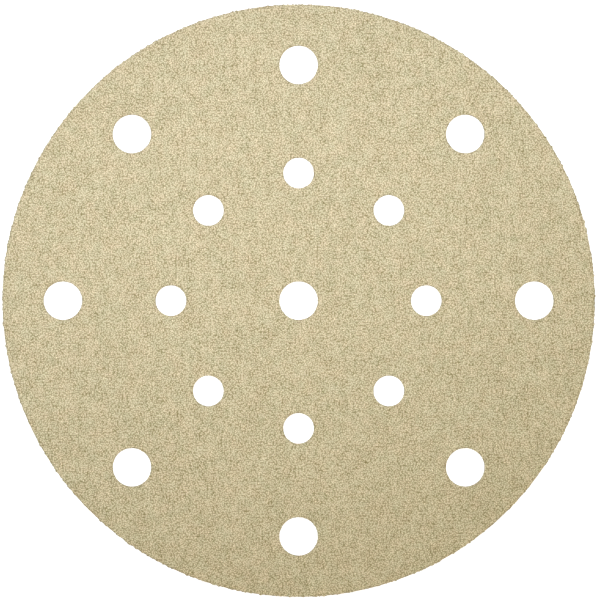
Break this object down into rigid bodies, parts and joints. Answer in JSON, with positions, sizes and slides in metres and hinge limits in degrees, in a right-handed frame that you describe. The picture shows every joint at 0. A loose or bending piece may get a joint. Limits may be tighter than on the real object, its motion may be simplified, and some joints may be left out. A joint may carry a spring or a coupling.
{
  "type": "hook and loop sanding disc",
  "caption": "Flat round abrasive disc of coated paper on a loop fabric backing, punched with a centre hole and two rings of dust holes.",
  "frame": {"origin": "centre of the disc, on the loop side that it lies on", "axes": "+Z through the disc from the loops to the grain; +X through one dust hole of each ring; +Y through the hole a quarter turn on"},
  "size_m": [0.1508, 0.1508, 0.0012],
  "materials": {
    "loop_fabric": "off-white knitted nylon loops, matt",
    "paper_backing": "buff abrasive-grade paper, seen only at the punched edges",
    "sanding_grit": "sand-coloured abrasive grain in resin, rough and matt"
  },
  "bodies": {
    "root": {"loop_fabric": "loop_fabric", "paper_backing": "paper_backing", "sanding_grit": "sanding_grit"}
  },
  "joints": []
}
